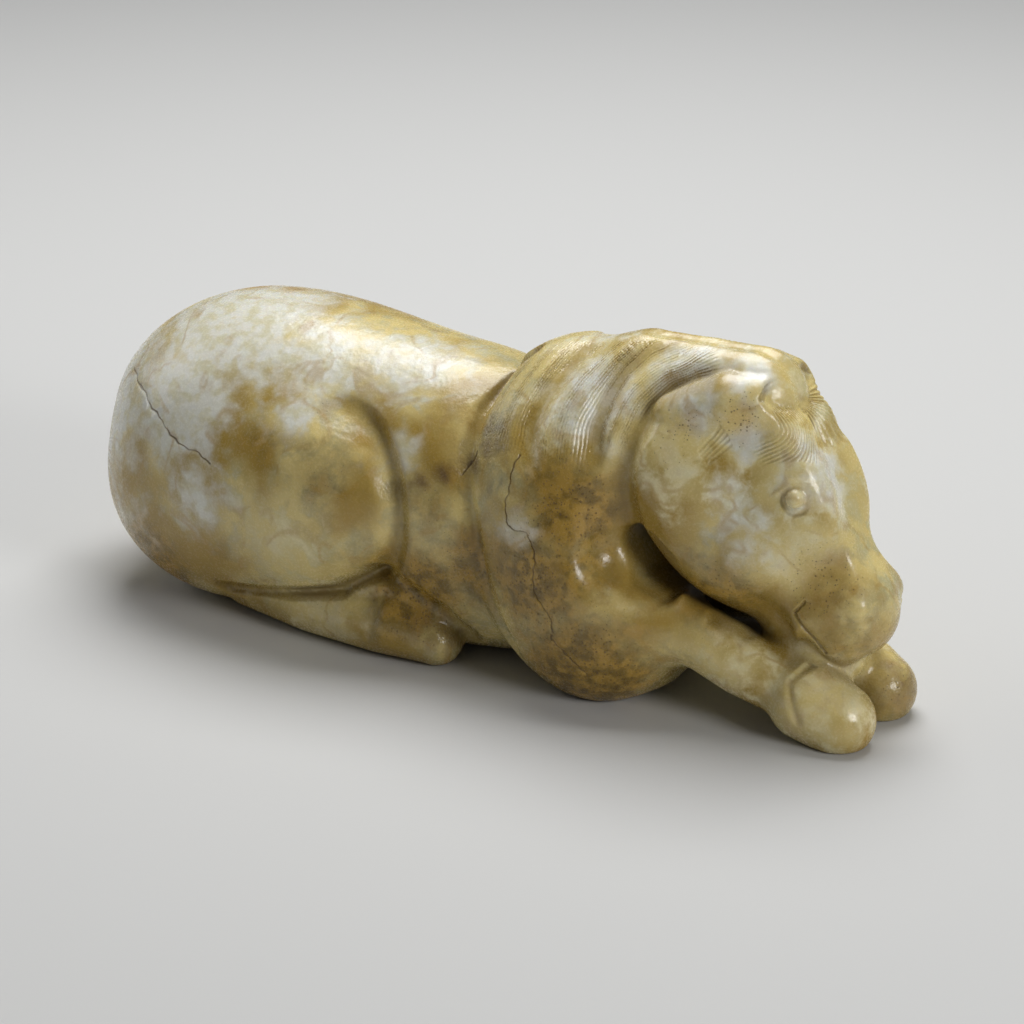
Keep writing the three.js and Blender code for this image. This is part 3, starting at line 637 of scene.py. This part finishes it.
# Umber stains of the stone and a soft dark vein on the near flank; the entries near the floor, such as (-2,
# -13, 5), (-4, -16, 6) and (-48, -9, 4), are painted shade.
DARK_STAINS_AND_LOW_SHADE = [
    (5, -12, 31, 6.5, 0.7), (8, -13, 27, 5, 0.6), (16, -15, 12, 5, 0.5), (-2, -13, 5, 7, 0.6),
    (51, 5, 5, 6, 0.7), (6, 13, 26, 7, 0.5), (-48, -9, 4, 7, 0.5), (-4, -16, 6, 5, 0.6),
    (2.3, -12.5, 28.2, 2.6, 0.9), (-0.7, -14.5, 26.6, 2.3, 0.9), (-3.8, -15, 24.8, 2.6, 0.9),
    (-6.6, -15.2, 23.4, 2.4, 0.8),
]


def patches(points, spots):
    total = np.zeros(len(points))
    for x, y, z, radius, strength in spots:
        away = np.linalg.norm(points - (x, y, z), axis=1) / radius
        total = np.maximum(total, strength * np.exp(-(away ** 2) * 1.4))
    return total


def hollow(points, outward, reach):
    """How deep in a hollow each point lies: 0 on open surface, 1 at the bottom of a narrow groove."""
    return np.clip(1 - at_points(horse, points + reach * outward) / reach, 0, 1)


def build_horse():
    points, triangles = carve()
    mesh = thin_out(new_mesh("carving", points, triangles), MOST_TRIANGLES)
    points = mesh_points(mesh)
    slope = gradient(horse, points, at_points(horse, points))
    outward = slope / np.maximum(np.linalg.norm(slope, axis=1), 1e-6)[:, None]
    add_attribute(mesh, "groove", hollow(points, outward, 0.25))
    add_attribute(mesh, "crease", hollow(points, outward, 1.2))
    add_attribute(mesh, "recess", hollow(points, outward, 4.0))
    add_attribute(mesh, "cream", patches(points, CREAM_PARTS))
    add_attribute(mesh, "white", patches(points, WHITE_CLOUDS_AND_BACK_HIGHLIGHT))
    add_attribute(mesh, "olive", patches(points, OLIVE_STAINS_AND_LOW_SHADE))
    add_attribute(mesh, "russet", patches(points, RUSSET_STAINS))
    add_attribute(mesh, "dark", patches(points, DARK_STAINS_AND_LOW_SHADE))
    add_attribute(mesh, "fissure", at_points(fissure_depth, points))
    add_attribute(mesh, "gully", at_points(gully, points))
    lowest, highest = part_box("horse_figure")
    low, high = points.min(0), points.max(0)
    fitted = np.array(lowest) + (points - low) * (np.array(highest) - np.array(lowest)) / (high - low)
    mesh.vertices.foreach_set("co", fitted.astype(np.float32).ravel())
    mesh.polygons.foreach_set("use_smooth", np.ones(len(mesh.polygons), bool))
    mesh.update()
    mesh.name = "horse"
    piece = bpy.data.objects.new("horse", mesh)
    bpy.context.scene.collection.objects.link(piece)
    return piece


def node(tree, kind, inputs=None, **settings):
    made = tree.nodes.new(kind)
    for name, value in settings.items():
        setattr(made, name, value)
    for name, value in (inputs or {}).items():
        if isinstance(value, bpy.types.NodeSocket):
            tree.links.new(value, made.inputs[name])
        else:
            made.inputs[name].default_value = value
    return made


def math_node(tree, operation, a, b=0.0, clamp=False):
    return node(tree, "ShaderNodeMath", {0: a, 1: b}, operation=operation, use_clamp=clamp).outputs[0]


def ramp(tree, value, low, high, to_low=0.0, to_high=1.0):
    return node(
        tree,
        "ShaderNodeMapRange",
        {"Value": value, "From Min": low, "From Max": high, "To Min": to_low, "To Max": to_high},
        interpolation_type="SMOOTHSTEP",
    ).outputs["Result"]


def mix(tree, share, a, b, blend="MIX"):
    made = node(tree, "ShaderNodeMix", {0: share}, data_type="RGBA", blend_type=blend)
    for socket, value in ((6, a), (7, b)):
        if isinstance(value, bpy.types.NodeSocket):
            tree.links.new(value, made.inputs[socket])
        else:
            made.inputs[socket].default_value = (*value, 1)
    return made.outputs[2]


def noise(tree, vector, scale, detail=4.0, roughness=0.5, distortion=0.0):
    made = node(
        tree,
        "ShaderNodeTexNoise",
        {"Vector": vector, "Scale": scale, "Detail": detail, "Roughness": roughness, "Distortion": distortion},
    )
    return made.outputs["Fac"]


def attribute(tree, name):
    return node(tree, "ShaderNodeAttribute", attribute_name=name).outputs["Fac"]


CELADON = (0.51, 0.47, 0.26)
CREAM = (0.70, 0.57, 0.24)
HONEY = (0.40, 0.27, 0.06)
WHITE = (0.75, 0.74, 0.65)
IVORY = (0.80, 0.72, 0.44)
MILK = (0.66, 0.62, 0.43)
OLIVE = (0.19, 0.12, 0.02)
TAN = (0.42, 0.26, 0.05)
RUSSET = (0.58, 0.35, 0.06)
UMBER = (0.12, 0.072, 0.042)
SOIL = (0.11, 0.06, 0.018)


def jade_material():
    material = bpy.data.materials.new("jade")
    material.use_nodes = True
    tree = material.node_tree
    shader = tree.nodes["Principled BSDF"]
    place = node(tree, "ShaderNodeTexCoord").outputs["Object"]
    # Positions in millimetres, so that every scale below is per millimetre.
    place = node(tree, "ShaderNodeVectorMath", {0: place, "Scale": 1 / MM}, operation="SCALE").outputs[0]

    broad = noise(tree, place, 0.09, 2, 0.55, 0.4)
    cloud = noise(tree, place, 0.3, 4, 0.6, 0.3)
    cotton = noise(tree, place, 0.6, 2, 0.5)
    grain = noise(tree, place, 3.2, 1, 0.6)

    def spread(name, softness, source):
        """A stain whose edge is broken up by the stone's own clouding."""
        ragged = math_node(tree, "MULTIPLY", math_node(tree, "SUBTRACT", source, 0.5), softness)
        return math_node(tree, "ADD", attribute(tree, name), ragged)

    green = mix(tree, ramp(tree, cloud, 0.4, 0.65), CREAM, CELADON)
    colour = mix(tree, ramp(tree, broad, 0.35, 0.6), HONEY, green)
    cream = ramp(tree, spread("cream", 1.4, cloud), 0.3, 0.7)
    colour = mix(tree, cream, colour, mix(tree, ramp(tree, cloud, 0.35, 0.7), CREAM, IVORY))
    # Olive stains, with painted shade on the low parts of the body.
    olive = ramp(tree, spread("olive", 0.9, cloud), 0.1, 0.9)
    colour = mix(tree, olive, colour, mix(tree, ramp(tree, cotton, 0.35, 0.65), OLIVE, TAN))
    # White clouds of the stone, partly a painted highlight on the back.
    white = ramp(tree, spread("white", 1.1, cloud), 0.15, 0.8)
    colour = mix(tree, white, colour, mix(tree, ramp(tree, cotton, 0.3, 0.6), MILK, WHITE))
    russet = ramp(tree, spread("russet", 1.1, cloud), 0.3, 0.95, 0.0, 0.85)
    colour = mix(tree, russet, colour, mix(tree, ramp(tree, cotton, 0.3, 0.7), RUSSET, TAN))
    # Umber stains, with painted shade low on the body near the floor.
    dark = ramp(tree, spread("dark", 0.8, cotton), 0.3, 1.0, 0.0, 0.8)
    colour = mix(tree, dark, colour, UMBER)

    # Thin veins where two clouds meet.
    vein_source = noise(tree, place, 0.1, 2, 0.5, 0.8)
    vein = math_node(tree, "ABSOLUTE", math_node(tree, "SUBTRACT", vein_source, 0.5))
    vein = ramp(tree, vein, 0.0, 0.045, 1.0, 0.0)
    vein = math_node(tree, "MULTIPLY", vein, ramp(tree, cloud, 0.4, 0.6, 0.0, 0.5))
    colour = mix(tree, vein, colour, TAN)

    # Pits, gathered in the stained parts and filled with dirt.
    stained = math_node(tree, "MAXIMUM", attribute(tree, "olive"), attribute(tree, "russet"))
    stained = math_node(tree, "ADD", stained, math_node(tree, "MULTIPLY", attribute(tree, "cream"), 0.25))
    pits = node(tree, "ShaderNodeTexVoronoi", {"Vector": place, "Scale": 3.2, "Randomness": 1.0})
    chance = node(tree, "ShaderNodeSeparateColor", {"Color": pits.outputs["Color"]}).outputs["Red"]
    pit_size = math_node(tree, "MULTIPLY", ramp(tree, chance, 0.45, 1.0, 0.0, 0.5), stained)
    pit = ramp(tree, math_node(tree, "SUBTRACT", pit_size, pits.outputs["Distance"]), 0.0, 0.08)
    colour = mix(tree, math_node(tree, "MULTIPLY", pit, 0.6), colour, SOIL)

    # Honey-coloured stain along the gullies of the mane and neck, painted shade darkening the creases and
    # broad recesses, and dirt in the fine grooves of the carving.
    gully = ramp(tree, spread("gully", 0.6, cloud), 0.2, 0.95, 0.0, 0.5)
    colour = mix(tree, gully, colour, HONEY)
    # Painted shade: the creases darkened towards olive and umber, more deeply inside the crease.
    crease = ramp(tree, attribute(tree, "crease"), 0.12, 0.85, 0.0, 0.7)
    crease = math_node(tree, "MULTIPLY", crease, ramp(tree, cloud, 0.25, 0.65, 0.55, 1.0))
    colour = mix(tree, crease, colour, mix(tree, 0.25, OLIVE, UMBER))
    # Painted shade: the broad recesses darkened towards olive.
    recess = ramp(tree, attribute(tree, "recess"), 0.35, 0.95, 0.0, 0.5)
    colour = mix(tree, recess, colour, OLIVE)
    groove = ramp(tree, attribute(tree, "groove"), 0.1, 0.8, 0.0, 0.5)
    colour = mix(tree, groove, colour, HONEY)
    fissure = ramp(tree, attribute(tree, "fissure"), 0.1, 0.7, 0.0, 0.65)
    colour = mix(tree, fissure, colour, SOIL)
    tree.links.new(colour, shader.inputs["Base Color"])

    dull_pit = math_node(tree, "MULTIPLY", pit, 0.35)
    polish = math_node(tree, "ADD", ramp(tree, grain, 0.3, 0.7, 0.2, 0.3), dull_pit)
    polish = math_node(tree, "ADD", polish, math_node(tree, "MULTIPLY", crease, 0.15), clamp=True)
    tree.links.new(polish, shader.inputs["Roughness"])

    height = math_node(tree, "MULTIPLY", pit, -0.1)
    waves = math_node(tree, "MULTIPLY", noise(tree, place, 0.8, 1, 0.5), 0.07)
    height = math_node(tree, "ADD", height, waves)
    rough = math_node(tree, "ADD", math_node(tree, "MULTIPLY", attribute(tree, "dark"), 0.07), 0.015)
    height = math_node(tree, "ADD", height, math_node(tree, "MULTIPLY", grain, rough))
    bump = node(tree, "ShaderNodeBump", {"Height": height, "Strength": 1.0, "Distance": MM})
    tree.links.new(bump.outputs["Normal"], shader.inputs["Normal"])

    shader.inputs["IOR"].default_value = 1.61
    shader.inputs["Specular IOR Level"].default_value = 0.4
    shader.inputs["Subsurface Weight"].default_value = 0.35
    shader.inputs["Subsurface Radius"].default_value = (1.0, 0.8, 0.5)
    shader.inputs["Subsurface Scale"].default_value = 2.0 * MM
    return material


# The photograph's view: azimuth and elevation in degrees, distance in millimetres, the point looked at in
# millimetres, the pixel where it shows, and pixels per millimetre there.
AZIMUTH = 33
ELEVATION = 22
DISTANCE = 420
LOOKED_AT = (3.34, 0.0, 17.42)
SHOWN_AT = (514, 505)
PIXELS_PER_MM = 8.15
SENSOR = 36


def add_camera():
    a, e = math.radians(AZIMUTH), math.radians(ELEVATION)
    back = Vector((math.sin(a) * math.cos(e), -math.cos(a) * math.cos(e), math.sin(e)))
    data = bpy.data.cameras.new("camera")
    data.sensor_width = SENSOR
    data.lens = SENSOR * PIXELS_PER_MM * DISTANCE / PHOTO_SIZE
    data.shift_x = (PHOTO_SIZE / 2 - SHOWN_AT[0]) / PHOTO_SIZE
    data.shift_y = (SHOWN_AT[1] - PHOTO_SIZE / 2) / PHOTO_SIZE
    data.clip_start = 0.01
    camera = bpy.data.objects.new("camera", data)
    camera.location = (Vector(LOOKED_AT) + back * DISTANCE) * MM
    camera.rotation_euler = back.to_track_quat("Z", "Y").to_euler()
    bpy.context.scene.collection.objects.link(camera)
    bpy.context.scene.camera = camera


def add_light(name, place, size, power):
    """A square soft light, placed in millimetres, that faces the horse."""
    data = bpy.data.lights.new(name, "AREA")
    data.shape = "SQUARE"
    data.size = size * MM
    data.energy = power
    light = bpy.data.objects.new(name, data)
    light.location = Vector(place) * MM
    light.rotation_euler = (Vector(place) - Vector(LOOKED_AT)).to_track_quat("Z", "Y").to_euler()
    bpy.context.scene.collection.objects.link(light)


def add_floor():
    size = 3000 * MM
    corners = np.array([(-size, -size, 0), (size, -size, 0), (size, size, 0), (-size, size, 0)])
    mesh = new_mesh("floor", corners, np.array([(0, 1, 2), (0, 2, 3)]))
    floor = bpy.data.objects.new("floor", mesh)
    bpy.context.scene.collection.objects.link(floor)
    material = bpy.data.materials.new("paper")
    material.use_nodes = True
    shader = material.node_tree.nodes["Principled BSDF"]
    shader.inputs["Base Color"].default_value = (0.6, 0.6, 0.59, 1)
    shader.inputs["Roughness"].default_value = 0.8
    mesh.materials.append(material)


def add_world():
    world = bpy.data.worlds.new("studio")
    world.use_nodes = True
    background = world.node_tree.nodes["Background"]
    background.inputs["Color"].default_value = (0.9, 0.92, 0.95, 1)
    background.inputs["Strength"].default_value = 0.1
    bpy.context.scene.world = world
    bpy.context.scene.view_settings.view_transform = "Standard"


add_camera()
add_world()
add_floor()
add_light("key", (-60, 150, 420), 320, 2.05)
add_light("left", (-450, -80, 230), 250, 0.3)
add_light("front", (530, -120, 250), 180, 1.2)

horse_piece = build_horse()
horse_piece.data.materials.clear()
horse_piece.data.materials.append(jade_material())
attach(horse_piece, "root")
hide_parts("horse_figure")
